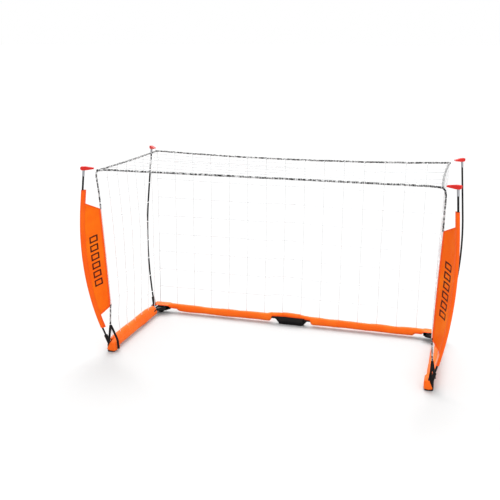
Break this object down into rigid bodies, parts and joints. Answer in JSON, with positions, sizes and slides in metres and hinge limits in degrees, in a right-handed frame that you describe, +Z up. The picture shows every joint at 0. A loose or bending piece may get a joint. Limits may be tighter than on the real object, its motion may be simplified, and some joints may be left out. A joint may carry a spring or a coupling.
{
  "type": "portable soccer goal frame",
  "caption": "Portable folding soccer goal: a hinged steel base in fabric sleeves, bowed poles in sockets, a square-mesh net hung from capped pole tips and fabric wings on the front poles.",
  "frame": {"origin": "centre of the goal outline on the floor", "axes": "+Z up, +Y towards the back bar of the goal, +X to the right of a player facing the mouth"},
  "size_m": [1.7142, 0.8086, 0.922],
  "materials": {
    "sleeve_fabric": "woven coated polyester, soft and lightly creased",
    "wing_fabric": "woven nylon with a darker reddish hem",
    "net_cord": "thin knotted white twine",
    "bungee": "braided, black and grey with pale flecks",
    "webbing": "flat woven strap",
    "black_steel": "satin powder coat",
    "bare_steel": "plated",
    "black_plastic": "fine moulded grain",
    "fibreglass": "satin pultruded rod",
    "collar_metal": "satin",
    "cap_plastic": "moulded, soft sheen"
  },
  "bodies": {
    "centre_hinge": {"hinge_shell": "black_steel", "hinge_foot": "black_plastic", "hinge_pins": "bare_steel", "hinge_cover": "sleeve_fabric"},
    "back_left": {"back_tube_left": "black_steel", "corner_bracket_left": "black_steel", "corner_rivets_left": "bare_steel", "corner_pin_left": "bare_steel", "corner_foot_left": "black_plastic", "rear_receiver_left": "black_plastic", "back_sleeve_left": "sleeve_fabric", "corner_cover_left": "sleeve_fabric", "back_net_left": "net_cord"},
    "side_left": {"side_tube_left": "black_steel", "front_fitting_left": "black_plastic", "front_receiver_left": "black_plastic", "side_sleeve_left": "sleeve_fabric", "foot_strap_left": "webbing", "side_net_left": "net_cord", "edge_rope_left": "bungee", "roof_net_left": "net_cord", "roof_rope_left": "bungee"},
    "pole_front_left": {"rod_front_left": "fibreglass", "collars_front_left": "collar_metal", "cap_front_left": "cap_plastic", "cap_loop_front_left": "bungee", "wing_left": "wing_fabric"},
    "pole_rear_left": {"rod_rear_left": "fibreglass", "collars_rear_left": "collar_metal", "cap_rear_left": "cap_plastic", "cap_loop_rear_left": "bungee"},
    "back_right": {"back_tube_right": "black_steel", "corner_bracket_right": "black_steel", "corner_rivets_right": "bare_steel", "corner_pin_right": "bare_steel", "corner_foot_right": "black_plastic", "rear_receiver_right": "black_plastic", "back_sleeve_right": "sleeve_fabric", "corner_cover_right": "sleeve_fabric", "back_net_right": "net_cord"},
    "side_right": {"side_tube_right": "black_steel", "front_fitting_right": "black_plastic", "front_receiver_right": "black_plastic", "side_sleeve_right": "sleeve_fabric", "foot_strap_right": "webbing", "side_net_right": "net_cord", "edge_rope_right": "bungee", "roof_net_right": "net_cord", "roof_rope_right": "bungee"},
    "pole_front_right": {"rod_front_right": "fibreglass", "collars_front_right": "collar_metal", "cap_front_right": "cap_plastic", "cap_loop_front_right": "bungee", "wing_right": "wing_fabric"},
    "pole_rear_right": {"rod_rear_right": "fibreglass", "collars_rear_right": "collar_metal", "cap_rear_right": "cap_plastic", "cap_loop_rear_right": "bungee"}
  },
  "joints": [
    {"name": "back_right_fold", "type": "hinge", "parent": "centre_hinge", "child": "back_right", "pos_m": [0.065, 0.29651, 0.032], "axis": [0, 0, 1], "range_deg": [0, 80]},
    {"name": "back_left_fold", "type": "hinge", "parent": "centre_hinge", "child": "back_left", "pos_m": [-0.065, 0.29651, 0.032], "axis": [0, 0, 1], "range_deg": [-80, 0]},
    {"name": "side_right_fold", "type": "hinge", "parent": "back_right", "child": "side_right", "pos_m": [0.722, 0.26151, 0.032], "axis": [0, 0, 1], "range_deg": [-90, 0], "deforming": ["roof_net_right", "roof_rope_right"]},
    {"name": "side_left_fold", "type": "hinge", "parent": "back_left", "child": "side_left", "pos_m": [-0.722, 0.26151, 0.032], "axis": [0, 0, 1], "range_deg": [0, 90], "deforming": ["roof_net_left", "roof_rope_left"]},
    {"name": "pole_front_right_pull", "type": "slide", "parent": "side_right", "child": "pole_front_right", "axis": [0.2289, -0.2542, 0.9397], "range_m": [0, 0.06]},
    {"name": "pole_front_left_pull", "type": "slide", "parent": "side_left", "child": "pole_front_left", "axis": [-0.2289, -0.2542, 0.9397], "range_m": [0, 0.06]},
    {"name": "pole_rear_right_pull", "type": "slide", "parent": "back_right", "child": "pole_rear_right", "axis": [0.2463, 0.2779, 0.9285], "range_m": [0, 0.06]},
    {"name": "pole_rear_left_pull", "type": "slide", "parent": "back_left", "child": "pole_rear_left", "axis": [-0.2463, 0.2779, 0.9285], "range_m": [0, 0.06]}
  ],
  "couplings": [
    {"joint": "back_left_fold", "follows": "back_right_fold", "ratio": -1},
    {"joint": "side_right_fold", "follows": "back_right_fold", "ratio": -1.125},
    {"joint": "side_left_fold", "follows": "back_right_fold", "ratio": 1.125}
  ]
}
